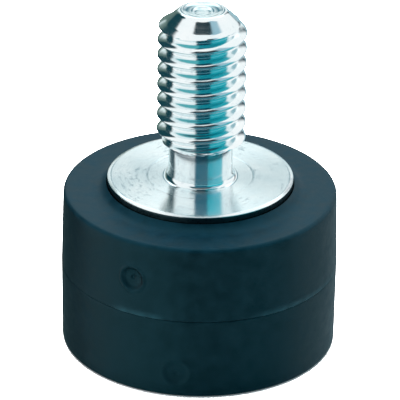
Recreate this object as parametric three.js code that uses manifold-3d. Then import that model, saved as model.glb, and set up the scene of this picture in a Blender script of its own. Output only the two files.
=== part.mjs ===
// Furniture leveling foot.
//
// A steel stud, turned from hexagon bar, screws into the underside of a piece of furniture. Its
// collar is pressed through a round flange plate. Below the plate its hexagon sits in the upper
// half of a black elastomer foot, so that gripping the foot turns the stud. The upper half is
// held between the flange plate and an anchor washer that the stud's peened tail keeps in
// place. The lower half of the foot is the resilient sole that stands on the floor.
//
// Millimetres. +Z is up along the stud's axis, and the origin is the centre of the sole's floor
// face. The side with the moulding marks faces -Y.

import * as THREE from "three";
import { mergeVertices } from "three/addons/utils/BufferGeometryUtils.js";
import Module from "manifold-3d";

const wasm = await Module();
wasm.setup();

// ---------------------------------------------------------------- driving dimensions

const INCH = 25.4;
const LATHE_SEGMENTS = 48;
const AXIAL_GAP = 0.04; // between faces that rest on each other
const RADIAL_GAP = 0.1; // between a bore or pocket and what sits in it

const FOOT = {
  radius: 12.2, // at the joint line, where both halves are widest
  height: 14.3,
  seamZ: 7.4,
  topDraft: 0.15, // how much smaller the radius is at the top edge
  bottomDraft: 0.08, // and at the bottom edge
  edgeRound: 0.4,
  seamBevel: 0.1,
  shoulderHeight: 0.6, // the top face curves up to the flange plate by this much
  shoulderWidth: 1.9,
};

const THREAD = {
  majorRadius: 3.9, // 5/16-18 UNC, an outside thread of the usual class
  pitch: INCH / 18,
  depthInPitches: 0.6,
  crestInPitches: 0.14,
  rootInPitches: 0.2,
  stepsPerTurn: 32,
  crestHeight: 0.36, // of a crest on the -X side above the flange, less whole turns
};

const STUD = {
  length: (5 / 8) * INCH, // from the flange's top face to the tip
  tipRadius: 2.05,
  tipBevel: 1.8,
  dimpleRadius: 1.75,
  dimpleDepth: 0.3,
  centreRadius: 0.6,
  centreDepth: 0.35,
  neckRadius: 2.8,
  neckLength: 3.25,
  neckFillet: 0.55,
  threadRunout: 0.6,
  collarRadius: 4.6,
  collarDrop: 0.06, // of the collar's end face below the flange's top face
  hexagonFlats: (3 / 8) * INCH,
  hexagonBevel: 0.35,
  tailRadius: 3,
  peenedRadius: 4,
  peenedHeight: 0.8,
};

const FLANGE = {
  radius: 8.15,
  thickness: 1.7,
  proud: 1.25, // of the elastomer's top face
  rimBevelWidth: 0.3,
  rimBevelDepth: 0.12,
  lowerBevel: 0.1,
};

const WASHER = {
  radius: 8.3,
  thickness: 1.5,
  bevel: 0.2,
  holeCount: 6,
  holeRadius: 1.1,
  holeCircle: 6.1,
};

const SPIGOT = { innerRadius: 9.4, outerRadius: 10.6, height: 1.1, bevel: 0.2 };

const SOLE_POCKET = { radius: 5.2, floorZ: 5.6 };

// Round marks that the moulding leaves in the wall: angle from the -Y side towards -X.
const WALL_MARKS = {
  upper: { angle: 28.4, z: 10.8, radius: 1.05, depth: 0.12 },
  lower: { angle: 8.8, z: 2.3, radius: 1.15, depth: 0.1 },
};

// Heights that follow from the driving dimensions.
const flangeTopZ = FOOT.height + FLANGE.proud;
const flangeBottomZ = flangeTopZ - FLANGE.thickness;
const tipZ = flangeTopZ + STUD.length;
const threadStartZ = flangeTopZ + STUD.neckLength;
const hexagonTopZ = flangeBottomZ - AXIAL_GAP;
const washerBottomZ = FOOT.seamZ + AXIAL_GAP;
const washerTopZ = washerBottomZ + WASHER.thickness;
const hexagonBottomZ = washerTopZ + AXIAL_GAP;
const peenedTopZ = washerBottomZ - AXIAL_GAP;
const tailEndZ = peenedTopZ - STUD.peenedHeight;
const threadRootRadius = THREAD.majorRadius - THREAD.depthInPitches * THREAD.pitch;

// ---------------------------------------------------------------- materials

const zincSteel = () =>
  new THREE.MeshStandardMaterial({ color: 0xcfe0e2, roughness: 0.22, metalness: 1 });
const plainSteel = () =>
  new THREE.MeshStandardMaterial({ color: 0x9aa3a6, roughness: 0.38, metalness: 1 });
const blackElastomer = () =>
  new THREE.MeshStandardMaterial({ color: 0x14232a, roughness: 0.55, metalness: 0 });

// ---------------------------------------------------------------- shape helpers

// A solid from a closed three.js geometry.
function solidOf(geometry) {
  const bare = geometry.clone();
  bare.deleteAttribute("normal");
  bare.deleteAttribute("uv");
  const merged = mergeVertices(bare, 1e-4);
  return new wasm.Manifold(
    new wasm.Mesh({
      numProp: 3,
      vertProperties: merged.attributes.position.array,
      triVerts: new Uint32Array(merged.index.array),
    }),
  );
}

function geometryOf(solid) {
  const mesh = solid.getMesh();
  const geometry = new THREE.BufferGeometry();
  geometry.setAttribute("position", new THREE.BufferAttribute(mesh.vertProperties, 3));
  geometry.setIndex(new THREE.BufferAttribute(mesh.triVerts, 1));
  geometry.computeVertexNormals();
  return geometry;
}

// Turns a closed [radius, z] outline, listed anticlockwise, about the Z axis.
function revolve(outline) {
  const points = outline.map(([radius, z]) => new THREE.Vector2(radius, z));
  return solidOf(new THREE.LatheGeometry(points, LATHE_SEGMENTS).rotateX(Math.PI / 2));
}

// Extrudes a flat shape upwards from fromZ to toZ.
function prism(shape, fromZ, toZ) {
  const options = { depth: toZ - fromZ, bevelEnabled: false, curveSegments: 8 };
  return solidOf(new THREE.ExtrudeGeometry(shape, options).translate(0, 0, fromZ));
}

// Points of a round from angle `from` to `to`, in degrees, about [radius, z].
function arc(centreRadius, centreZ, round, from, to, steps = 3) {
  return Array.from({ length: steps + 1 }, (_, i) => {
    const angle = THREE.MathUtils.degToRad(from + ((to - from) * i) / steps);
    return [centreRadius + round * Math.cos(angle), centreZ + round * Math.sin(angle)];
  });
}

// A hexagonal column about the Z axis, with two of its corners on the X axis.
function hexagonColumn(acrossFlats, fromZ, toZ) {
  const cornerRadius = acrossFlats / 2 / Math.cos(Math.PI / 6);
  const column = new THREE.CylinderGeometry(cornerRadius, cornerRadius, toZ - fromZ, 6);
  column.rotateX(Math.PI / 2).rotateZ(Math.PI / 2).translate(0, 0, (fromZ + toZ) / 2);
  return solidOf(column);
}

function part(name, solid, material) {
  const mesh = new THREE.Mesh(geometryOf(solid), material);
  mesh.name = name;
  return mesh;
}

// ---------------------------------------------------------------- threaded stud

// A solid right-hand threaded rod: its rows of vertices follow the helix, so crest and root
// edges stay sharp. It is longer than the stud's thread at both ends, where the stud cuts it.
function threadedRod(fromZ, toZ) {
  const { pitch, majorRadius, stepsPerTurn, crestInPitches, rootInPitches } = THREAD;
  const flank = (1 - crestInPitches - rootInPitches) / 2;
  const profile = [
    [0, majorRadius],
    [crestInPitches, majorRadius],
    [crestInPitches + flank, threadRootRadius],
    [crestInPitches + flank + rootInPitches, threadRootRadius],
  ];
  const perTurn = profile.length;
  const turns = Math.ceil((toZ - fromZ) / pitch) + 2;
  const rows = turns * perTurn;
  const firstCrestZ = flangeTopZ + THREAD.crestHeight - (crestInPitches / 2) * pitch;
  const turnsSkipped = Math.floor((fromZ - firstCrestZ) / pitch) - 1;
  const baseZ = firstCrestZ + turnsSkipped * pitch;

  const positions = [];
  for (let step = 0; step < stepsPerTurn; step++) {
    const turn = step / stepsPerTurn;
    const angle = Math.PI + 2 * Math.PI * turn; // the helix starts on the -X side
    for (let row = 0; row <= rows; row++) {
      const [share, radius] = profile[row % perTurn];
      const z = baseZ + pitch * (Math.floor(row / perTurn) + share + turn);
      positions.push(radius * Math.cos(angle), radius * Math.sin(angle), z);
    }
  }
  const vertex = (step, row) =>
    step === stepsPerTurn ? row + perTurn : step * (rows + 1) + row;

  const triangles = [];
  for (let step = 0; step < stepsPerTurn; step++) {
    const lastRow = step === stepsPerTurn - 1 ? rows - perTurn : rows;
    for (let row = 0; row < lastRow; row++) {
      const [a, b] = [vertex(step, row), vertex(step + 1, row)];
      const [c, d] = [vertex(step + 1, row + 1), vertex(step, row + 1)];
      triangles.push(a, b, c, a, c, d);
    }
  }

  // Each end is a fan from a point on the axis round the open helical edge.
  const lastStep = stepsPerTurn - 1;
  const bottomEdge = [];
  for (let step = 0; step < stepsPerTurn; step++) bottomEdge.push(vertex(step, 0));
  for (let row = perTurn; row > 0; row--) bottomEdge.push(vertex(0, row));
  const topEdge = [];
  for (let step = 0; step < stepsPerTurn; step++) topEdge.push(vertex(step, rows));
  for (let row = rows - 1; row >= rows - perTurn; row--) topEdge.push(vertex(lastStep, row));
  const bottomCentre = positions.length / 3;
  positions.push(0, 0, baseZ);
  const topCentre = bottomCentre + 1;
  positions.push(0, 0, baseZ + pitch * (turns + 1));
  bottomEdge.forEach((v, i) => {
    triangles.push(bottomCentre, bottomEdge[(i + 1) % bottomEdge.length], v);
  });
  topEdge.forEach((v, i) => {
    triangles.push(topCentre, v, topEdge[(i + 1) % topEdge.length]);
  });

  const geometry = new THREE.BufferGeometry();
  geometry.setAttribute("position", new THREE.Float32BufferAttribute(positions, 3));
  geometry.setIndex(triangles);
  return solidOf(geometry);
}

// The outside of the threaded length: run-out bevel at the neck, bevelled and dimpled tip.
function threadEnvelope() {
  const { neckRadius, threadRunout, tipRadius, tipBevel } = STUD;
  const { dimpleRadius, dimpleDepth, centreRadius, centreDepth } = STUD;
  const outerRadius = THREAD.majorRadius + 0.02;
  return revolve([
    [0, threadStartZ - 0.2],
    [neckRadius, threadStartZ - 0.2],
    [neckRadius, threadStartZ],
    [outerRadius, threadStartZ + threadRunout],
    [outerRadius, tipZ - tipBevel],
    [tipRadius, tipZ],
    [dimpleRadius, tipZ],
    [centreRadius, tipZ - dimpleDepth],
    [0, tipZ - dimpleDepth - centreDepth],
  ]);
}

// The hexagon, with the corners of its lower end turned off as on a bolt head.
function hexagonSection() {
  const flatRadius = STUD.hexagonFlats / 2;
  const outerRadius = flatRadius / Math.cos(Math.PI / 6) + 0.1;
  const turned = revolve([
    [0, hexagonBottomZ],
    [flatRadius - 0.05, hexagonBottomZ],
    [outerRadius, hexagonBottomZ + STUD.hexagonBevel],
    [outerRadius, hexagonTopZ],
    [0, hexagonTopZ],
  ]);
  const column = hexagonColumn(STUD.hexagonFlats, hexagonBottomZ - 1, hexagonTopZ + 1);
  return column.intersect(turned);
}

// Everything turned below the thread: neck, fillet, collar, tail and its peened end.
function turnedCore() {
  const { neckRadius, neckFillet, collarRadius, collarDrop } = STUD;
  const { tailRadius, peenedRadius, peenedHeight } = STUD;
  const collarZ = flangeTopZ - collarDrop;
  const collarBevel = 0.1;
  return revolve([
    [0, tailEndZ],
    [peenedRadius - peenedHeight * 0.7, tailEndZ],
    [peenedRadius, peenedTopZ - peenedHeight * 0.4],
    [peenedRadius, peenedTopZ],
    [tailRadius, peenedTopZ],
    [tailRadius, hexagonBottomZ + 0.1],
    [collarRadius, hexagonBottomZ + 0.1],
    [collarRadius, collarZ - collarBevel],
    [collarRadius - collarBevel, collarZ],
    ...arc(neckRadius + neckFillet, collarZ + neckFillet, neckFillet, 270, 180),
    [neckRadius, threadStartZ - 0.1],
    [0, threadStartZ - 0.1],
  ]);
}

function threadedStud() {
  const thread = threadedRod(threadStartZ, tipZ).intersect(threadEnvelope());
  return part("threaded_stud", turnedCore().add(hexagonSection()).add(thread), zincSteel());
}

// ---------------------------------------------------------------- flange plate and washer

function flangePlate() {
  const { radius, rimBevelWidth, rimBevelDepth, lowerBevel } = FLANGE;
  const boreRadius = STUD.collarRadius + RADIAL_GAP;
  const plate = revolve([
    [boreRadius, flangeBottomZ],
    [radius - lowerBevel, flangeBottomZ],
    [radius, flangeBottomZ + lowerBevel],
    [radius, flangeTopZ - rimBevelDepth],
    [radius - rimBevelWidth, flangeTopZ],
    [boreRadius, flangeTopZ],
    [boreRadius, flangeBottomZ],
  ]);
  return part("flange_plate", plate, zincSteel());
}

function anchorWasher() {
  const { radius, bevel, holeCount, holeRadius, holeCircle } = WASHER;
  const boreRadius = STUD.tailRadius + RADIAL_GAP;
  let washer = revolve([
    [boreRadius, washerBottomZ],
    [radius - bevel, washerBottomZ],
    [radius, washerBottomZ + bevel],
    [radius, washerTopZ - bevel],
    [radius - bevel, washerTopZ],
    [boreRadius, washerTopZ],
    [boreRadius, washerBottomZ],
  ]);
  for (let i = 0; i < holeCount; i++) {
    const angle = ((i + 0.5) * 2 * Math.PI) / holeCount;
    const hole = new THREE.Shape();
    const [x, y] = [holeCircle * Math.cos(angle), holeCircle * Math.sin(angle)];
    hole.absarc(x, y, holeRadius, 0, 2 * Math.PI);
    washer = washer.subtract(prism(hole, washerBottomZ - 1, washerTopZ + 1));
  }
  return part("anchor_washer", washer, plainSteel());
}

// ---------------------------------------------------------------- the two elastomer halves

// The wall's radius at a height: widest at the joint line, with draft above and below it.
function wallRadius(z) {
  const { radius, height, seamZ, topDraft, bottomDraft } = FOOT;
  if (z > seamZ) return radius - (topDraft * (z - seamZ)) / (height - seamZ);
  return radius - (bottomDraft * (seamZ - z)) / seamZ;
}

// The top face of the upper half, from its outer flat inwards: it rises to the flange plate on
// a cubic curve, which is steepest at the plate.
function shoulder(seatRadius) {
  const { height, shoulderHeight, shoulderWidth } = FOOT;
  const steps = 5;
  return Array.from({ length: steps + 1 }, (_, i) => {
    const share = i / steps;
    return [seatRadius + shoulderWidth * (1 - share), height + shoulderHeight * share ** 3];
  });
}

// A short round cutter that sinks a moulding mark into the wall.
function wallMarkCutter({ angle, z, radius, depth }) {
  const length = 2;
  const cutter = new THREE.CylinderGeometry(radius, radius, length, 20);
  cutter.translate(0, -(wallRadius(z) - depth + length / 2), 0);
  cutter.rotateZ(-THREE.MathUtils.degToRad(angle)).translate(0, 0, z);
  return solidOf(cutter);
}

function upperHalf() {
  const { radius, height, seamZ, edgeRound, seamBevel } = FOOT;
  const bottomZ = seamZ + AXIAL_GAP / 2;
  const seatRadius = FLANGE.radius + RADIAL_GAP;
  const seatZ = flangeBottomZ - AXIAL_GAP;
  const pocketRadius = WASHER.radius + RADIAL_GAP;
  const pocketZ = washerTopZ + AXIAL_GAP;
  const grooveInner = SPIGOT.innerRadius - RADIAL_GAP;
  const grooveOuter = SPIGOT.outerRadius + RADIAL_GAP;
  const grooveZ = seamZ + SPIGOT.height + 0.3;
  const shell = revolve([
    [0, pocketZ],
    [pocketRadius, pocketZ],
    [pocketRadius, bottomZ],
    [grooveInner, bottomZ],
    [grooveInner, grooveZ],
    [grooveOuter, grooveZ],
    [grooveOuter, bottomZ],
    [radius - seamBevel, bottomZ],
    [radius, bottomZ + seamBevel],
    ...arc(wallRadius(height) - edgeRound, height - edgeRound, edgeRound, 0, 90),
    ...shoulder(seatRadius),
    [seatRadius, seatZ],
    [0, seatZ],
  ]);
  const bore = hexagonColumn(STUD.hexagonFlats + 2 * RADIAL_GAP, pocketZ - 1, seatZ + 1);
  const body = shell.subtract(bore).subtract(wallMarkCutter(WALL_MARKS.upper));
  return part("upper_body", body, blackElastomer());
}

function lowerHalf() {
  const { radius, seamZ, edgeRound, seamBevel } = FOOT;
  const topZ = seamZ - AXIAL_GAP / 2;
  const { innerRadius, outerRadius, height, bevel } = SPIGOT;
  const spigotZ = seamZ + height;
  const sole = revolve([
    [0, 0],
    ...arc(wallRadius(0) - edgeRound, edgeRound, edgeRound, 270, 360),
    [radius, topZ - seamBevel],
    [radius - seamBevel, topZ],
    [outerRadius, topZ],
    [outerRadius, spigotZ - bevel],
    [outerRadius - bevel, spigotZ],
    [innerRadius + bevel, spigotZ],
    [innerRadius, spigotZ - bevel],
    [innerRadius, topZ],
    [SOLE_POCKET.radius, topZ],
    [SOLE_POCKET.radius, SOLE_POCKET.floorZ],
    [0, SOLE_POCKET.floorZ],
  ]);
  return part("lower_body", sole.subtract(wallMarkCutter(WALL_MARKS.lower)), blackElastomer());
}

// ---------------------------------------------------------------- assembly

const group = new THREE.Group();
group.add(threadedStud(), flangePlate(), anchorWasher(), upperHalf(), lowerHalf());

export default group;
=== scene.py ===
"""The looks of the furniture leveling foot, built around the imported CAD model.

The steel stud, its flange plate and the two elastomer halves are made here as fine meshes that
replace their CAD solids. The anchor washer, hidden inside the foot, keeps its CAD solid.
Everything is in metres, in the CAD frame: +Z up along the stud's axis, the floor at z = 0.
"""

import math

import bmesh
import bpy
import numpy as np
from mathutils import Matrix, Vector


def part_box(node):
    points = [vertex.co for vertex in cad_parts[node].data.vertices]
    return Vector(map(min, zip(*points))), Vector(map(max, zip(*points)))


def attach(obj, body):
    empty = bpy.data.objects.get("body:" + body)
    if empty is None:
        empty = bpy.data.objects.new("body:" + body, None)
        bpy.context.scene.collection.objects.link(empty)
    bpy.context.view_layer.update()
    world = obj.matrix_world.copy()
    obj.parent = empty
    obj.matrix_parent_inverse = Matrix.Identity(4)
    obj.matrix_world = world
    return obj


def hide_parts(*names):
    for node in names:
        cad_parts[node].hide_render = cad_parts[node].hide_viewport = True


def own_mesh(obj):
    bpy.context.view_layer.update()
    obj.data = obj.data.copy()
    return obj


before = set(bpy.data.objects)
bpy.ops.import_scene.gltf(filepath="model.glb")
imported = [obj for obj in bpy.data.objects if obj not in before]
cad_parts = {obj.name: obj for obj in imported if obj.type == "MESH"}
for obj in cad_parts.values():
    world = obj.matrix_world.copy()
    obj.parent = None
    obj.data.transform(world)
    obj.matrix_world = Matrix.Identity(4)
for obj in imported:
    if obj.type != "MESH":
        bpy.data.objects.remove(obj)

MM = 0.001
TURN = 2 * math.pi
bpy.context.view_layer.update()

# ---------------------------------------------------------------- sizes

GAP = 0.04 * MM  # between faces that rest on each other
FIT = 0.1 * MM  # between a bore or pocket and what sits in it
HAIRLINE = 0.005 * MM  # what shows of the fit between the stud's collar and the flange plate

# The thread, 5/16-18 UNC. Its crest is an arch that steepens into straight flanks.
PITCH = 25.4 * MM / 18
CREST_RADIUS = 3.9 * MM
ROOT_RADIUS = CREST_RADIUS - 0.6 * PITCH
CREST_SLOPE = 0.65  # of the profile beside the crest: radius lost per unit of height
FLANK_SLOPE = 2.05
ARCH_WIDTH = 0.45 * MM  # over which the slope grows from the one to the other
CREST_BLUNTNESS = 0.03 * MM
ROOT_ROUND = 0.16 * MM
CREST_HEIGHT = 0.36 * MM  # of a crest on the -X side above the flange, less whole turns

NECK_RADIUS = 2.8 * MM
NECK_LENGTH = 3.25 * MM
NECK_FILLET = 0.55 * MM
NECK_ROUND = 0.06 * MM  # where the neck meets the thread's run-out
THREAD_RUNOUT = 0.6 * MM

BEVEL_SLOPE = 1.02  # radius gained per unit of height, from the end face down
BEVEL_ROUND = 0.05 * MM  # where the bevel meets the full thread
TIP_RADIUS = 2.05 * MM  # where the bevel's line meets the end face
TIP_ROUND = 0.73 * MM
TIP_FLAT_RADIUS = TIP_RADIUS - TIP_ROUND * math.tan(math.radians(22.5))
RIDGE_START = 1.0 * MM  # below the end face, where the thread first stands out of the bevel
RIDGE_SLOPE = 1.5
RIDGE_ROUND = 0.08 * MM
# The end face's dish from its rim to its centre, in mm: radius, depth
TIP_DISH = [
    (1.66, 0.02),
    (1.5, 0.07),
    (1.3, 0.11),
    (1.05, 0.13),
    (0.9, 0.14),
    (0.8, 0.18),
    (0.7, 0.22),
    (0.6, 0.24),
    (0.3, 0.25),
    (0, 0.25),
]

COLLAR_RADIUS = 4.6 * MM
COLLAR_EDGE_ROUND = 0.01 * MM
HEXAGON_FLAT_RADIUS = 3 / 16 * 25.4 * MM
HEXAGON_BEVEL_DEPTH = 0.05 * MM  # inside the flats, at the hexagon's lower end
HEXAGON_BEVEL_HEIGHT = 0.35 * MM
TAIL_RADIUS = 3 * MM
PEENED_RADIUS = 4 * MM
PEENED_HEIGHT = 0.8 * MM
STUD_COLUMNS = 192  # points round the stud

RIM_BEVEL_WIDTH = 0.3 * MM
RIM_BEVEL_DEPTH = 0.12 * MM
PLATE_LOWER_BEVEL = 0.1 * MM
PLATE_COLUMNS = 240

SHOULDER_HEIGHT = 0.6 * MM  # the foot's top face curves up to the flange plate by this much
SHOULDER_WIDTH = 1.6 * MM
WALL_SETBACK = 0.05 * MM  # of the wall behind the flash at the joint line
TOP_DRAFT = 0.15 * MM
BOTTOM_DRAFT = 0.08 * MM
TOP_ROUND = 0.4 * MM
BOTTOM_ROUND = 0.3 * MM
JOINT_FACE_INSET = 0.6 * MM  # of the outermost row on the joint's flat face
SPIGOT_INNER = 9.4 * MM
SPIGOT_OUTER = 10.6 * MM
SPIGOT_BEVEL = 0.2 * MM
GROOVE_CLEARANCE = 0.3 * MM  # above the spigot
POCKET_RADIUS = 5.2 * MM
POCKET_Z = 5.6 * MM
WALL_COLUMNS = 288  # before those that a moulding mark adds

# Moulding marks on the wall. An angle is from -Y towards -X.
UPPER_MARK = {"angle": math.radians(28.4), "z": 10.8 * MM, "radius": 1.05 * MM, "depth": 0.3 * MM}
LOWER_MARK = {"angle": math.radians(8.8), "z": 2.3 * MM, "radius": 1.15 * MM, "depth": 0.1 * MM}

# Runs of raised flash on the joint line: middle and half width in degrees from -Y towards +X, height
FLASH_RUNS = [(-26, 13, 1.0), (55, 36, 0.85), (150, 40, 0.7), (-120, 30, 0.8)]
LEAST_FLASH = 0.05
# The flash's section in mm: how far it lies inside the foot's radius where there is least of it,
# how far it grows outwards, and height above the joint line
FLASH_SECTION = [(0.08, 0.06, 0), (0.05, 0.05, 0.025), (0.05, 0.045, 0.06)]
FLASH_HEIGHT = 0.1 * MM  # above the joint line, what counts as flash
# The lower half's edge at the joint line in mm: inside the wall, below the joint's face
JOINT_EDGE = [(0.01, 0.07), (0.03, 0.025), (0.06, 0)]

# Elevation and roll are in degrees, and the lens is in millimetres for a 36 mm sensor
CAMERA = {"distance": 384.25 * MM, "elevation": 27.38, "roll": 0.82, "lens": 391.4}
CAMERA_PIVOT_Z = 7.685 * MM  # the height on the stud's axis that the distance is measured from
CAMERA_AIM_Z = 13.1 * MM

BAND_BLUR = 3  # degrees, at the edges of the screens that the metal mirrors
FLOOR_BAND_BLUR = 5

# ---------------------------------------------------------------- places, from the CAD model

stud_low, stud_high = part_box("threaded_stud")
plate_low, plate_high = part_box("flange_plate")
upper_low, upper_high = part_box("upper_body")
washer_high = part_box("anchor_washer")[1]
lower_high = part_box("lower_body")[1]

TIP_Z = stud_high.z
TAIL_Z = stud_low.z
FLANGE_Z = plate_high.z
FLANGE_RADIUS = plate_high.x
FOOT_RADIUS = upper_high.x
FOOT_TOP_Z = upper_high.z - SHOULDER_HEIGHT
SEAM_Z = upper_low.z

# ---------------------------------------------------------------- mesh helpers


def smoothstep(low, high, value):
    share = np.clip((value - low) / (high - low), 0, 1)
    return share * share * (3 - 2 * share)


def soft_min(a, b, width):
    """The smaller of a and b, with their corner rounded over about `width`."""
    share = np.clip(0.5 + (b - a) / (2 * width), 0, 1)
    return b + (a - b) * share - width * share * (1 - share)


def soft_max(a, b, width):
    return -soft_min(-a, -b, width)


def even_angles(count):
    return np.arange(count) * TURN / count


def ring(angles, radius, z):
    """One closed row of points about the Z axis; radius and z may vary with the angle."""
    radius = np.broadcast_to(radius, angles.shape)
    z = np.broadcast_to(z, angles.shape)
    return np.stack([radius * np.cos(angles), radius * np.sin(angles), z], axis=-1)


def arc(centre_radius, centre_z, size, start, end, steps=6):
    """Points of a round from angle start to end, in degrees, about (radius, z)."""
    turns = np.radians(np.linspace(start, end, steps + 1))
    return [(centre_radius + size * math.cos(t), centre_z + size * math.sin(t)) for t in turns]


def straight(start, end, spacing):
    """Points from start to end, both (radius, z), without the last one."""
    length = math.hypot(end[0] - start[0], end[1] - start[1])
    count = max(1, round(length / spacing))
    shares = np.arange(count) / count
    return [(start[0] + (end[0] - start[0]) * s, start[1] + (end[1] - start[1]) * s) for s in shares]


def mesh_piece(name, points, faces, material, sharp_angle=40):
    """A smooth-shaded mesh object; points that coincide are joined, and flat edges stay sharp."""
    mesh = bpy.data.meshes.new(name)
    mesh.from_pydata(points.tolist(), [], faces)
    bm = bmesh.new()
    bm.from_mesh(mesh)
    bmesh.ops.remove_doubles(bm, verts=bm.verts, dist=2e-7)
    bmesh.ops.dissolve_degenerate(bm, edges=bm.edges, dist=1e-8)
    bmesh.ops.recalc_face_normals(bm, faces=bm.faces)
    for face in bm.faces:
        face.smooth = True
    bm.to_mesh(mesh)
    bm.free()
    mesh.set_sharp_from_angle(angle=math.radians(sharp_angle))
    mesh.materials.append(material)
    piece = bpy.data.objects.new(name, mesh)
    bpy.context.scene.collection.objects.link(piece)
    return piece


def row_faces(first_row, row_count, columns, closed=False):
    """Quads between rows of points numbered row by row; closed joins the last to the first."""
    faces = []
    for row in range(row_count if closed else row_count - 1):
        below = (first_row + row) * columns
        above = (first_row + (row + 1) % row_count) * columns
        for column in range(columns):
            beside = (column + 1) % columns
            faces.append((below + column, below + beside, above + beside, above + column))
    return faces


# ---------------------------------------------------------------- material helpers


def new_material(name):
    material = bpy.data.materials.new(name)
    material.use_nodes = True
    tree = material.node_tree
    shader = tree.nodes["Principled BSDF"]
    return material, tree, shader


def node(tree, kind, inputs=None, **settings):
    made = tree.nodes.new(kind)
    for key, value in settings.items():
        setattr(made, key, value)
    for key, value in (inputs or {}).items():
        socket = made.inputs[key]
        if isinstance(value, bpy.types.NodeSocket):
            tree.links.new(value, socket)
        else:
            socket.default_value = value
    return made


def math_node(tree, operation, *values):
    made = tree.nodes.new("ShaderNodeMath")
    made.operation = operation
    for socket, value in zip(made.inputs, values):
        if isinstance(value, bpy.types.NodeSocket):
            tree.links.new(value, socket)
        else:
            socket.default_value = value
    return made.outputs[0]


def noise(tree, vector, scale, detail=2.0, roughness=0.5):
    """Noise with `scale` features per metre."""
    inputs = {"Vector": vector, "Scale": scale, "Detail": detail, "Roughness": roughness}
    return node(tree, "ShaderNodeTexNoise", inputs).outputs["Fac"]


def stripes(tree, value, scale, detail=2.0):
    """Noise along one number only, with `scale` features per metre."""
    inputs = {"W": value, "Scale": scale, "Detail": detail}
    return node(tree, "ShaderNodeTexNoise", inputs, noise_dimensions="1D").outputs["Fac"]


def remap(tree, value, low, high, to_low, to_high):
    inputs = {
        "Value": value,
        "From Min": low,
        "From Max": high,
        "To Min": to_low,
        "To Max": to_high,
    }
    return node(tree, "ShaderNodeMapRange", inputs).outputs["Result"]


def mix_colors(tree, share, first, second):
    made = tree.nodes.new("ShaderNodeMix")
    made.data_type = "RGBA"
    for index, value in ((0, share), (6, first), (7, second)):
        if isinstance(value, bpy.types.NodeSocket):
            tree.links.new(value, made.inputs[index])
        else:
            made.inputs[index].default_value = value
    return made.outputs[2]


def bump(tree, height, distance, strength=1.0, below=None):
    inputs = {"Height": height, "Distance": distance, "Strength": strength}
    if below is not None:
        inputs["Normal"] = below
    return node(tree, "ShaderNodeBump", inputs).outputs["Normal"]


def object_point(tree):
    return node(tree, "ShaderNodeTexCoord").outputs["Object"]


def distance_from_axis(tree, point):
    split = node(tree, "ShaderNodeSeparateXYZ", {"Vector": point})
    across = math_node(tree, "MULTIPLY", split.outputs["X"], split.outputs["X"])
    along = math_node(tree, "MULTIPLY", split.outputs["Y"], split.outputs["Y"])
    return math_node(tree, "SQRT", math_node(tree, "ADD", across, along))


# ---------------------------------------------------------------- materials


def turning_streaks(tree, point):
    """Share of the darker streaks on the faced disc: short streaks that follow the turning.

    Streaks are noise in polar coordinates, with 2.5 mm as the radius where both are equally long.
    """
    split = node(tree, "ShaderNodeSeparateXYZ", {"Vector": point})
    angle = math_node(tree, "ARCTAN2", split.outputs["Y"], split.outputs["X"])
    radius = distance_from_axis(tree, point)
    around = math_node(tree, "MULTIPLY", angle, 2.5 * MM)
    polar = node(tree, "ShaderNodeCombineXYZ", {"X": radius, "Y": around}).outputs["Vector"]
    streak = remap(tree, noise(tree, polar, 2600, 3, 0.65), 0.52, 0.66, 0, 1)
    patch = remap(tree, noise(tree, point, 260, 1), 0.5, 0.62, 0.08, 0.75)
    return math_node(tree, "MULTIPLY", streak, patch)


def faced_tip(tree, point):
    """Share of the thicker, bluer passivation on the stud's end face."""
    height = node(tree, "ShaderNodeSeparateXYZ", {"Vector": point}).outputs["Z"]
    near_end = remap(tree, height, TIP_Z - 0.5 * MM, TIP_Z - 0.4 * MM, 0, 1)
    inside = remap(tree, distance_from_axis(tree, point), 1.5 * MM, 1.8 * MM, 1, 0)
    mottle = remap(tree, noise(tree, point, 1800, 2), 0.4, 0.62, 0.25, 1)
    return math_node(tree, "MULTIPLY", math_node(tree, "MULTIPLY", near_end, inside), mottle)


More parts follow.
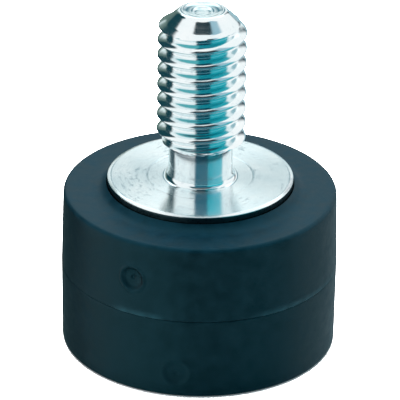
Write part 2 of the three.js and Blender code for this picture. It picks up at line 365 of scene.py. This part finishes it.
def zinc_steel(name, turned_along):
    """Bright zinc plating with a faint blue passivation, over fine turning marks.

    turned_along is "radius" for a faced disc and "height" for a turned shaft.
    """
    material, tree, shader = new_material(name)
    point = object_point(tree)
    if turned_along == "radius":
        along = distance_from_axis(tree, point)
    else:
        along = node(tree, "ShaderNodeSeparateXYZ", {"Vector": point}).outputs["Z"]

    cloud = noise(tree, point, 420, 3)
    blotch = noise(tree, point, 1500, 4, 0.6)
    clean = (0.9, 0.96, 0.97, 1)
    tinted = (0.84, 0.93, 0.95, 1)
    dull = (0.5, 0.62, 0.68, 1)
    # Colour of the darker streaks that follow the turning on the faced disc.
    streaked = (0.4, 0.52, 0.58, 1)
    blue = (0.62, 0.78, 0.82, 1)
    bright = mix_colors(tree, remap(tree, cloud, 0.35, 0.65, 0, 1), clean, tinted)
    speck = remap(tree, blotch, 0.6, 0.72, 0, 0.35)
    color = mix_colors(tree, speck, bright, dull)
    if turned_along == "radius":
        color = mix_colors(tree, turning_streaks(tree, point), color, streaked)
    else:
        color = mix_colors(tree, faced_tip(tree, point), color, blue)
    tree.links.new(color, shader.inputs["Base Color"])

    marks = stripes(tree, along, 9000, 3)
    low, high = (0.15, 0.21) if turned_along == "radius" else (0.07, 0.13)
    clouded = remap(tree, cloud, 0.3, 0.7, low, high)
    scored = remap(tree, marks, 0.3, 0.7, 0, 0.05)
    tree.links.new(math_node(tree, "ADD", clouded, scored), shader.inputs["Roughness"])
    if turned_along == "radius":
        tangent = node(tree, "ShaderNodeTangent", direction_type="RADIAL", axis="Z").outputs["Tangent"]
        tree.links.new(tangent, shader.inputs["Tangent"])
        shader.inputs["Anisotropic"].default_value = 0.9
        shader.inputs["Anisotropic Rotation"].default_value = 0.25

    turned = bump(tree, marks, 0.25e-6)
    tree.links.new(bump(tree, blotch, 0.8e-6, below=turned), shader.inputs["Normal"])
    shader.inputs["Metallic"].default_value = 1.0
    return material


def side_steel_painted_shade():
    """The flange plate's cut edge: thin, dull plating over a sheared surface; its near-black colour is
    painted shade, for the shadow under the plate's rim.
    """
    material, tree, shader = new_material("zinc_steel_side_painted_shade")
    point = object_point(tree)
    height = node(tree, "ShaderNodeSeparateXYZ", {"Vector": point}).outputs["Z"]
    torn = noise(tree, point, 3000, 4)
    # Painted shade: far darker than any steel, so that the plate's side reads as the shadow beneath
    # its rim.
    color = mix_colors(tree, torn, (0.02, 0.05, 0.06, 1), (0.05, 0.09, 0.1, 1))
    tree.links.new(color, shader.inputs["Base Color"])
    tree.links.new(remap(tree, torn, 0.3, 0.7, 0.25, 0.4), shader.inputs["Roughness"])
    drawn = bump(tree, stripes(tree, height, 12000), 1e-6)
    tree.links.new(drawn, shader.inputs["Normal"])
    shader.inputs["Metallic"].default_value = 1.0
    return material


def plain_steel():
    """Bare stamped steel with a rolled grain."""
    material, tree, shader = new_material("plain_steel")
    point = object_point(tree)
    grain = noise(tree, point, 2500, 4)
    color = mix_colors(tree, grain, (0.42, 0.43, 0.44, 1), (0.58, 0.59, 0.6, 1))
    tree.links.new(color, shader.inputs["Base Color"])
    tree.links.new(remap(tree, grain, 0.3, 0.7, 0.3, 0.45), shader.inputs["Roughness"])
    tree.links.new(bump(tree, grain, 2e-6), shader.inputs["Normal"])
    shader.inputs["Metallic"].default_value = 1.0
    return material


def elastomer():
    """Moulded elastomer: blue-black, satin, slightly mottled, with a painted highlight on the joint
    line's flash.
    """
    material, tree, shader = new_material("black_elastomer")
    point = object_point(tree)
    mottle = noise(tree, point, 900, 3, 0.6)
    grain = noise(tree, point, 7000, 3, 0.6)
    dark = (0.0001, 0.0026, 0.0045, 1)
    light = (0.0005, 0.0048, 0.0082, 1)
    # Painted highlight: a lighter colour on the flash, standing in for light catching the flash's top
    # along the joint line.
    painted_flash_highlight = (0.004, 0.017, 0.023, 1)
    color = mix_colors(tree, remap(tree, mottle, 0.3, 0.7, 0, 1), dark, light)
    highlight_on_flash = node(tree, "ShaderNodeAttribute", attribute_name="flash").outputs["Fac"]
    color = mix_colors(tree, highlight_on_flash, color, painted_flash_highlight)
    tree.links.new(color, shader.inputs["Base Color"])
    tree.links.new(remap(tree, mottle, 0.3, 0.7, 0.4, 0.52), shader.inputs["Roughness"])
    shader.inputs["Specular Tint"].default_value = (0.2, 0.8, 1.0, 1.0)
    shader.inputs["Specular IOR Level"].default_value = 0.33
    waves = bump(tree, mottle, 8e-6)
    tree.links.new(bump(tree, grain, 3e-6, below=waves), shader.inputs["Normal"])
    return material


# ---------------------------------------------------------------- threaded stud


def thread_radius(share):
    """Radius of the thread where share is the distance from a crest, in pitches (-0.5 to 0.5)."""
    distance = np.hypot(share * PITCH, CREST_BLUNTNESS) - CREST_BLUNTNESS
    arch = CREST_SLOPE * distance + (FLANK_SLOPE - CREST_SLOPE) * distance**2 / (2 * ARCH_WIDTH)
    arch_drop = (CREST_SLOPE + FLANK_SLOPE) / 2 * ARCH_WIDTH
    flank = arch_drop + FLANK_SLOPE * (distance - ARCH_WIDTH)
    drop = np.where(distance < ARCH_WIDTH, arch, flank)
    return CREST_RADIUS - soft_min(drop, CREST_RADIUS - ROOT_RADIUS, ROOT_ROUND)


def stud_envelope(z):
    """Outside of the threaded length: run-out at the neck, bevel and first ridge at the tip."""
    start = FLANGE_Z + NECK_LENGTH
    runout = NECK_RADIUS + (CREST_RADIUS - NECK_RADIUS) * (z - start) / THREAD_RUNOUT
    bevel = TIP_RADIUS + BEVEL_SLOPE * (TIP_Z - z)
    ridge = ROOT_RADIUS + RIDGE_SLOPE * (TIP_Z - RIDGE_START - z)
    neck = soft_max(runout, NECK_RADIUS, NECK_ROUND)
    return soft_min(neck, np.maximum(bevel, ridge), BEVEL_ROUND)


def threaded_rows(angles, bottom_z, top_z):
    """Rows of points that follow the helix, from the ring at bottom_z to the ring at top_z.

    A row that is one turn further along meets this one where the angles wrap. Points beyond
    the two rings are put on them, so that the rows end in plain rings.
    """
    crest_z = FLANGE_Z + CREST_HEIGHT
    side = np.array([0.02, 0.05, 0.08, 0.11, 0.15, 0.2, 0.25, 0.3, 0.34, 0.38, 0.42, 0.46])
    shares = np.concatenate([[-0.5], -side[::-1], side])
    per_turn = len(shares)
    first_turn = math.floor((bottom_z - crest_z) / PITCH) - 1
    last_turn = math.ceil((top_z - crest_z) / PITCH) + 1
    rows = []
    for turn in range(first_turn, last_turn + 1):
        for share in shares:
            helix_z = crest_z + PITCH * (turn + share + (angles - math.pi) / TURN)
            z = soft_max(helix_z, bottom_z, PITCH / 2)
            z = soft_min(z, top_z, PITCH / 2)
            along = (z - crest_z) / PITCH - (angles - math.pi) / TURN
            radius = thread_radius(along - np.round(along))
            radius = soft_min(radius, stud_envelope(z), RIDGE_ROUND)
            rows.append(ring(angles, radius, z))
    columns = len(angles)
    faces = []
    last_row = len(rows) - 1
    for row in range(last_row):
        for column in range(columns - 1):
            a = row * columns + column
            faces.append((a, a + 1, a + 1 + columns, a + columns))
        low = min(row + per_turn, last_row) * columns
        high = min(row + 1 + per_turn, last_row) * columns
        edge = row * columns + columns - 1
        faces.append((edge, low, high, edge + columns))
    return rows, faces


def hexagon_radius(angles, flat_radius):
    """Radius of a hexagon with corners on the X axis."""
    sixth = TURN / 6
    return flat_radius / np.cos((angles % sixth) - sixth / 2)


def stud_hidden_rows(angles):
    """From the tail's centre up to the neck: peened end, tail, hexagon, collar and fillet."""
    peened_z = TAIL_Z + PEENED_HEIGHT
    hexagon_z = washer_high.z + GAP
    hexagon_top_z = plate_low.z - GAP
    collar_z = FLANGE_Z - HAIRLINE
    flat = hexagon_radius(angles, HEXAGON_FLAT_RADIUS)
    bevelled = np.minimum(flat, HEXAGON_FLAT_RADIUS - HEXAGON_BEVEL_DEPTH)
    rows = [
        ring(angles, 0, TAIL_Z),
        ring(angles, PEENED_RADIUS - 0.7 * PEENED_HEIGHT, TAIL_Z),
        ring(angles, PEENED_RADIUS - 0.25 * PEENED_HEIGHT, TAIL_Z + 0.25 * PEENED_HEIGHT),
        ring(angles, PEENED_RADIUS, TAIL_Z + 0.6 * PEENED_HEIGHT),
        ring(angles, PEENED_RADIUS, peened_z),
        ring(angles, TAIL_RADIUS, peened_z),
        ring(angles, TAIL_RADIUS, hexagon_z),
        ring(angles, bevelled, hexagon_z),
        ring(angles, flat, hexagon_z + HEXAGON_BEVEL_HEIGHT),
        ring(angles, flat, hexagon_top_z),
        ring(angles, COLLAR_RADIUS, hexagon_top_z),
    ]
    edge = COLLAR_EDGE_ROUND
    collar_edge = arc(COLLAR_RADIUS - edge, collar_z - edge, edge, 0, 90, 2)
    fillet_radius = NECK_RADIUS + NECK_FILLET
    fillet = arc(fillet_radius, collar_z + NECK_FILLET, NECK_FILLET, 270, 180, 10)
    beside = 0.05 * MM  # a row close to each end keeps the face's shading flat
    collar_face = [(COLLAR_RADIUS - beside, collar_z), (fillet_radius + beside, collar_z)]
    rows += [ring(angles, radius, z) for radius, z in collar_edge + collar_face + fillet]
    return rows


def stud_tip_rows(angles):
    """From the end of the bevel inwards: rounded edge, flat rim, dished centre with a ring."""
    edge = arc(TIP_FLAT_RADIUS, TIP_Z - TIP_ROUND, TIP_ROUND, 45, 90, 8)[1:]
    dish = [(radius * MM, TIP_Z - depth * MM) for radius, depth in TIP_DISH]
    return [ring(angles, radius, z) for radius, z in edge + dish]


def threaded_stud(material, face_material):
    """The whole stud in one piece; its collar's flat face has the flange plate's material."""
    angles = even_angles(STUD_COLUMNS)
    columns = len(angles)
    hidden = stud_hidden_rows(angles)
    neck_z = FLANGE_Z + 2 * NECK_FILLET
    bevel_end_z = TIP_Z - TIP_ROUND * (1 - math.sin(math.radians(45)))
    threaded, threaded_faces = threaded_rows(angles, neck_z, bevel_end_z)
    hidden.append(threaded[0])
    tip = [threaded[-1]] + stud_tip_rows(angles)
    points = np.concatenate(hidden + threaded + tip)
    offset = len(hidden) * columns
    faces = row_faces(0, len(hidden), columns)
    faces += [tuple(index + offset for index in face) for face in threaded_faces]
    faces += row_faces(len(hidden) + len(threaded), len(tip), columns)
    piece = mesh_piece("stud_zinc_plated", points, faces, material)
    piece.data.materials.append(face_material)
    for face in piece.data.polygons:
        level_with_flange = abs(face.center.z - FLANGE_Z) < 2 * HAIRLINE
        outside_fillet = math.hypot(face.center.x, face.center.y) > NECK_RADIUS + NECK_FILLET
        if level_with_flange and outside_fillet:
            face.material_index = 1
    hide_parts("threaded_stud")
    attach(piece, "stud_and_body")
    return piece


# ---------------------------------------------------------------- flange plate and washer


def flange_plate(material, side_painted_shade_material):
    """The disc with its bore; its bevelled rim is rounded into the sheared side and the top face."""
    angles = even_angles(PLATE_COLUMNS)
    bore = COLLAR_RADIUS + HAIRLINE
    edge = COLLAR_EDGE_ROUND
    low_z = plate_low.z
    side_top = FLANGE_Z - RIM_BEVEL_DEPTH
    bevel_end = FLANGE_RADIUS - RIM_BEVEL_WIDTH
    side_start = (FLANGE_RADIUS, low_z + 2 * PLATE_LOWER_BEVEL)
    profile = [
        (bore, low_z),
        (FLANGE_RADIUS - PLATE_LOWER_BEVEL, low_z),
        (FLANGE_RADIUS, low_z + PLATE_LOWER_BEVEL),
    ]
    profile += straight(side_start, (FLANGE_RADIUS, side_top), 0.25 * MM)
    profile += [
        (FLANGE_RADIUS, side_top),
        (FLANGE_RADIUS - 0.01 * MM, side_top + 0.025 * MM),
        (FLANGE_RADIUS - 0.04 * MM, side_top + 0.045 * MM),
        (bevel_end + 0.04 * MM, FLANGE_Z - 0.015 * MM),
        (bevel_end, FLANGE_Z),
    ]
    profile += [(r, FLANGE_Z) for r in np.linspace(bevel_end - 0.1 * MM, bore + 0.3 * MM, 8)]
    profile += arc(bore + edge, FLANGE_Z - edge, edge, 90, 180, 2)
    rows = [ring(angles, radius, z) for radius, z in profile]
    faces = row_faces(0, len(rows), len(angles), closed=True)
    piece = mesh_piece("flange_zinc_plated", np.concatenate(rows), faces, material)
    # The side faces take the material with the painted shade.
    piece.data.materials.append(side_painted_shade_material)
    for face in piece.data.polygons:
        near_side = math.hypot(face.center.x, face.center.y) > FLANGE_RADIUS - 2 * PLATE_LOWER_BEVEL
        if near_side and face.center.z < side_top:
            face.material_index = 1
    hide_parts("flange_plate")
    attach(piece, "stud_and_body")
    return piece


def paint_washer(material):
    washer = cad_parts["anchor_washer"]
    washer.data.materials.clear()
    washer.data.materials.append(material)


# ---------------------------------------------------------------- elastomer halves


def wall_angles(mark):
    """Angles round the foot, every quarter of a degree where the mark sits."""
    middle = (-math.pi / 2 - mark["angle"]) % TURN
    close = middle + np.radians(np.arange(-7, 7.01, 0.25))
    angles = np.concatenate([even_angles(WALL_COLUMNS), close]) % TURN
    angles = np.unique(np.round(angles, 5))
    return angles[np.append(np.diff(angles) > 1e-3, True)]


def wall_radius(z):
    """The wall's radius at a height, with draft above and below the joint line."""
    radius = FOOT_RADIUS - WALL_SETBACK
    above = TOP_DRAFT * (z - SEAM_Z) / (FOOT_TOP_Z - SEAM_Z)
    below = BOTTOM_DRAFT * (SEAM_Z - z) / SEAM_Z
    return radius - (above if z > SEAM_Z else below)


def wall_rows(low_z, high_z, mark):
    """Heights up a wall, closer together beside a mark."""
    heights = set(np.round(np.linspace(low_z, high_z, 16), 7))
    reach = mark["radius"] + 0.25 * MM
    heights |= set(np.round(np.arange(mark["z"] - reach, mark["z"] + reach, 0.06 * MM), 7))
    heights = sorted(h for h in heights if low_z <= h <= high_z)
    return [(wall_radius(z), z) for z in heights]


def mark_depth(angles, z, mark):
    """How far a round moulding mark sinks the wall: a bowl with steep sides, a pit and a raised lip.

    Distances are shares of the mark's radius, and depths are shares of its depth.
    """
    turn = (angles - (-math.pi / 2 - mark["angle"]) + math.pi) % TURN - math.pi
    distance = np.hypot(turn * FOOT_RADIUS, z - mark["z"]) / mark["radius"]
    bowl = 0.55 * np.clip(1 - distance**2, 0, 1)
    sides = 0.45 * (1 - smoothstep(0.7, 1, distance))
    pit = 0.35 * (1 - smoothstep(0.08, 0.28, distance))
    lip = -0.2 * smoothstep(0.92, 1.08, distance) * (1 - smoothstep(1.1, 1.35, distance))
    return mark["depth"] * (bowl + sides + pit + lip)


def flash(angles):
    """Height of the flash along the joint line, 0 to 1: it comes and goes, with an uneven ripple."""
    height = np.full_like(angles, LEAST_FLASH)
    for middle, half_width, rise in FLASH_RUNS:
        turn = (angles - (-math.pi / 2 + math.radians(middle)) + math.pi) % TURN - math.pi
        share = 1 - smoothstep(0.6, 1, np.abs(turn) / math.radians(half_width))
        height = np.maximum(height, rise * share)
    ripple = 0.5 + 0.3 * np.cos(47 * angles) + 0.2 * np.cos(83 * angles + 1)
    return height * (0.45 + 0.55 * ripple)


def mark_flash_highlight(piece):
    """Gives each point on the flash its height, for the material to paint a highlight along it."""
    points = np.array([vertex.co for vertex in piece.data.vertices])
    angles = np.arctan2(points[:, 1], points[:, 0])
    above = points[:, 2] - SEAM_Z
    outside = np.hypot(points[:, 0], points[:, 1]) > FOOT_RADIUS - 2 * WALL_SETBACK
    highlight_on_flash = outside & (above > 0.01 * MM) & (above < FLASH_HEIGHT)
    # The attribute flash sets how strongly the material paints the highlight at each point.
    layer = piece.data.attributes.new("flash", "FLOAT", "POINT")
    layer.data.foreach_set("value", np.where(highlight_on_flash, flash(angles), 0))


def body_rows(angles, profile, mark):
    """Rows of a half from its profile; points on the wall are sunk where the mark is."""
    rows = []
    for radius, z in profile:
        on_wall = abs(radius - wall_radius(z)) < 1e-9
        sunk = mark_depth(angles, z, mark) if on_wall else 0
        rows.append(ring(angles, radius - sunk, z))
    return rows


def upper_body(material):
    """The upper half: groove and pocket below, flash, wall, curved top, seat and hexagonal bore."""
    angles = wall_angles(UPPER_MARK)
    bottom_z = SEAM_Z
    seat_radius = FLANGE_RADIUS + FIT
    seat_z = plate_low.z - GAP
    pocket_z = washer_high.z + GAP
    pocket_radius = washer_high.x + FIT
    groove_inner = SPIGOT_INNER - FIT
    groove_outer = SPIGOT_OUTER + FIT
    groove_z = lower_high.z + GROOVE_CLEARANCE
    bore = hexagon_radius(angles, HEXAGON_FLAT_RADIUS + FIT)
    top_radius = wall_radius(FOOT_TOP_Z)

    inside = [
        (pocket_radius, pocket_z),
        (pocket_radius, bottom_z),
        (groove_inner, bottom_z),
        (groove_inner, groove_z),
        (groove_outer, groove_z),
        (groove_outer, bottom_z),
        (FOOT_RADIUS - JOINT_FACE_INSET, bottom_z),
    ]
    outside = wall_rows(bottom_z + 0.14 * MM, FOOT_TOP_Z - TOP_ROUND, UPPER_MARK)
    round_radius = top_radius - TOP_ROUND
    top = arc(round_radius, FOOT_TOP_Z - TOP_ROUND, TOP_ROUND, 0, 90, 10)[1:]
    shoulder_end = seat_radius + SHOULDER_WIDTH
    top += straight((round_radius - 0.3 * MM, FOOT_TOP_Z), (shoulder_end, FOOT_TOP_Z), 0.4 * MM)
    for share in np.linspace(0, 1, 17):
        top.append((shoulder_end - SHOULDER_WIDTH * share, FOOT_TOP_Z + SHOULDER_HEIGHT * share**3))
    top += [(seat_radius, seat_z)]

    rows = body_rows(angles, inside, UPPER_MARK)
    for setback, growth, height in FLASH_SECTION:
        radius = FOOT_RADIUS - setback * MM + growth * MM * flash(angles)
        rows.append(ring(angles, radius, bottom_z + height * MM))
    rows += body_rows(angles, outside + top, UPPER_MARK)
    rows += [ring(angles, bore, seat_z), ring(angles, bore, pocket_z)]
    faces = row_faces(0, len(rows), len(angles), closed=True)
    piece = mesh_piece("foot_upper_half", np.concatenate(rows), faces, material)
    mark_flash_highlight(piece)
    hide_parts("upper_body")
    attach(piece, "stud_and_body")
    return piece


def lower_body(material):
    """The lower half, solid from the floor up, with the spigot that enters the upper half's groove."""
    angles = wall_angles(LOWER_MARK)
    top_z = SEAM_Z - GAP / 2
    spigot_z = lower_high.z
    bottom_radius = wall_radius(0)
    underside_radii = np.linspace(2 * MM, bottom_radius - BOTTOM_ROUND - 1 * MM, 5)
    underside = [(0, 0)] + [(radius, 0) for radius in underside_radii]
    edge = arc(bottom_radius - BOTTOM_ROUND, BOTTOM_ROUND, BOTTOM_ROUND, 270, 360, 10)[:-1]
    wall = wall_rows(BOTTOM_ROUND, top_z - 0.16 * MM, LOWER_MARK)
    inside = [
        (FOOT_RADIUS - JOINT_FACE_INSET, top_z),
        (SPIGOT_OUTER, top_z),
        (SPIGOT_OUTER, spigot_z - SPIGOT_BEVEL),
        (SPIGOT_OUTER - SPIGOT_BEVEL, spigot_z),
        (SPIGOT_INNER + SPIGOT_BEVEL, spigot_z),
        (SPIGOT_INNER, spigot_z - SPIGOT_BEVEL),
        (SPIGOT_INNER, top_z),
        (POCKET_RADIUS, top_z),
        (POCKET_RADIUS, POCKET_Z),
        (0, POCKET_Z),
    ]
    rows = body_rows(angles, underside + edge + wall, LOWER_MARK)
    for inset, depth in JOINT_EDGE:
        rows.append(ring(angles, wall_radius(top_z) - inset * MM, top_z - depth * MM))
    rows += body_rows(angles, inside, LOWER_MARK)
    faces = row_faces(0, len(rows), len(angles))
    piece = mesh_piece("foot_lower_half", np.concatenate(rows), faces, material)
    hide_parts("lower_body")
    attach(piece, "sole")
    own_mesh(piece)
    return piece


# ---------------------------------------------------------------- stage, light and camera


def floor():
    """Pale paper just below the foot. The metal doesn't mirror it: the room's lower part does that."""
    size = 1.5
    below = -0.01 * MM
    corners = [(-size, -size, below), (size, -size, below), (size, size, below), (-size, size, below)]
    mesh = bpy.data.meshes.new("floor")
    mesh.from_pydata(corners, [], [(0, 1, 2, 3)])
    material, tree, shader = new_material("floor_paper")
    point = object_point(tree)
    paper = noise(tree, point, 60, 2)
    color = mix_colors(tree, paper, (0.97, 0.97, 0.97, 1), (0.98, 0.98, 0.98, 1))
    tree.links.new(color, shader.inputs["Base Color"])
    shader.inputs["Roughness"].default_value = 0.9
    shader.inputs["Specular IOR Level"].default_value = 0.1
    shader.inputs["Emission Color"].default_value = (1, 1, 1, 1)
    shader.inputs["Emission Strength"].default_value = 0.12
    mesh.materials.append(material)
    plane = bpy.data.objects.new("floor", mesh)
    plane.visible_glossy = False
    bpy.context.scene.collection.objects.link(plane)


def band_ramp(tree, azimuth, bands, blur):
    """Colours round the room, with soft edges `blur` degrees to each side.

    Each band is the angle where it ends, from -180 to 180 with 0 in front, and its colour.
    """
    share = remap(tree, azimuth, -math.pi, math.pi, 0, 1)
    ramp = node(tree, "ShaderNodeValToRGB", {"Fac": share})
    elements = ramp.color_ramp.elements
    stops = []
    start = -180
    for end, color in bands:
        stops += [(start + blur, color), (end - blur, color)]
        start = end
    while len(elements) < len(stops):
        elements.new(0.5)
    for element, (angle, color) in zip(elements, stops):
        element.position = (angle + 180) / 360
        element.color = (*color, 1)
    return ramp.outputs["Color"]


def room_levels():
    """The room's screens, which the metal mirrors: bands round the room at each level.

    A level takes over from the one below it between its two heights, in degrees above the
    horizon. The first level has no heights. Left of the front is -90 and right is 90.
    """
    white = (1.0, 1.0, 1.0)
    pale = (0.93, 1.0, 1.0)
    bright_pale = (1.5, 1.68, 1.72)
    stone = (0.5, 0.6, 0.6)
    haze = (0.08, 0.22, 0.28)
    moss = (0.13, 0.2, 0.18)
    shade = (0.008, 0.05, 0.065)
    slate = (0.02, 0.04, 0.05)
    mist = (0.34, 0.53, 0.62)
    dusk = (0.36, 0.53, 0.59)
    navy = (0.0, 0.04, 0.065)
    bright_navy = (0.0, 0.09, 0.15)
    soft_navy = (0.18, 0.44, 0.52)
    dim_navy = (0.08, 0.2, 0.25)
    teal = (0.02, 0.38, 0.45)
    bright_teal = (0.0, 0.46, 0.56)
    soft_teal = (0.26, 0.62, 0.68)
    floor_slate = (0.2, 0.36, 0.4)
    floor_pale = (0.1, 0.43, 0.47)
    floor_teal = (0.005, 0.24, 0.3)
    floor_dim = (0.16, 0.38, 0.44)
    floor_dusk = (0.42, 0.62, 0.7)

    floor_bands = [(-136, floor_slate), (-100, shade), (-12, floor_pale), (80, floor_teal)]
    floor_bands += [(118, floor_dim), (180, floor_dusk)]
    low_bands = [(-176, pale), (-150, moss), (-107, shade), (-20, white), (27, navy), (86, teal)]
    low_bands += [(104, white), (180, dusk)]
    raised_bands = [(-158, pale), (-154, stone), (-144, moss), (-107, shade), (-20, white)]
    raised_bands += [(27, soft_navy), (86, soft_teal), (148, white), (156, navy), (180, pale)]
    middle_bands = [(-175, pale), (-166, haze), (-153, pale), (-144, moss), (-107, shade)]
    middle_bands += [(-20, white), (27, bright_navy), (86, bright_teal), (148, white)]
    middle_bands += [(154, navy), (166, white), (175, haze), (180, pale)]
    high_bands = [(-140, bright_pale), (-108, shade), (-40, white), (50, dim_navy), (84, mist)]
    high_bands += [(140, white), (180, bright_pale)]
    top_bands = [(-45, white), (50, slate), (84, mist), (180, white)]
    ceiling = [(180, white)]
    return [
        (floor_bands, None),
        (low_bands, (-31, -27)),
        (raised_bands, (4, 8)),
        (middle_bands, (16, 19)),
        (high_bands, (33, 40)),
        (top_bands, (47, 52)),
        (ceiling, (70, 75)),
    ]


def studio():
    """A bright room whose screens only reflections see; the camera sees a plain pale background."""
    world = bpy.data.worlds.new("studio")
    bpy.context.scene.world = world
    world.use_nodes = True
    tree = world.node_tree
    background = tree.nodes["Background"]
    direction = node(tree, "ShaderNodeTexCoord").outputs["Generated"]
    split = node(tree, "ShaderNodeSeparateXYZ", {"Vector": direction})
    front = math_node(tree, "MULTIPLY", split.outputs["Y"], -1.0)
    azimuth = math_node(tree, "ARCTAN2", split.outputs["X"], front)
    elevation = math_node(tree, "DEGREES", math_node(tree, "ARCSINE", split.outputs["Z"]))
    (floor_bands, _), *upper_levels = room_levels()
    color = band_ramp(tree, azimuth, floor_bands, FLOOR_BAND_BLUR)
    for bands, (low, high) in upper_levels:
        share = remap(tree, elevation, low, high, 0, 1)
        color = mix_colors(tree, share, color, band_ramp(tree, azimuth, bands, BAND_BLUR))
    seen = node(tree, "ShaderNodeLightPath").outputs["Is Camera Ray"]
    plain = (0.95, 0.95, 0.95, 1)
    color = mix_colors(tree, seen, color, plain)
    tree.links.new(color, background.inputs["Color"])
    background.inputs["Strength"].default_value = 1.0


def key_lamp():
    """A soft round lamp overhead, a little behind the foot, that the metal doesn't mirror."""
    place = Vector((0.0, 0.15, 1.0))
    target = Vector((0, 0, 0.01))
    data = bpy.data.lights.new("key", "AREA")
    data.shape = "DISK"
    data.size = 0.5
    data.energy = 72
    lamp = bpy.data.objects.new("key", data)
    lamp.location = place
    lamp.rotation_euler = (target - place).to_track_quat("-Z", "Y").to_euler()
    lamp.visible_glossy = False
    bpy.context.scene.collection.objects.link(lamp)


def camera():
    """In front and above, rolled a little; the foot's middle sits below the picture's centre."""
    elevation = math.radians(CAMERA["elevation"])
    pivot = Vector((0, 0, CAMERA_PIVOT_Z))
    away = Vector((0, -math.cos(elevation), math.sin(elevation)))
    place = pivot + away * CAMERA["distance"]
    aim = Vector((0, 0, CAMERA_AIM_Z))
    data = bpy.data.cameras.new("camera")
    data.lens = CAMERA["lens"]
    data.sensor_width = 36
    data.clip_start = 0.01
    data.clip_end = 10
    eye = bpy.data.objects.new("camera", data)
    eye.location = place
    turn = (aim - place).to_track_quat("-Z", "Y").to_matrix().to_4x4()
    turn = turn @ Matrix.Rotation(math.radians(CAMERA["roll"]), 4, "Z")
    eye.rotation_euler = turn.to_euler()
    bpy.context.scene.collection.objects.link(eye)
    bpy.context.scene.camera = eye


# ---------------------------------------------------------------- the scene

camera()
studio()
floor()
key_lamp()

rubber = elastomer()
faced_steel = zinc_steel("zinc_steel_faced", "radius")
threaded_stud(zinc_steel("zinc_steel_shaft", "height"), faced_steel)
flange_plate(faced_steel, side_steel_painted_shade())
paint_washer(plain_steel())
upper_body(rubber)
lower_body(rubber)

view = bpy.context.scene.view_settings
view.view_transform = "Standard"
view.look = "None"
view.exposure = 0.0
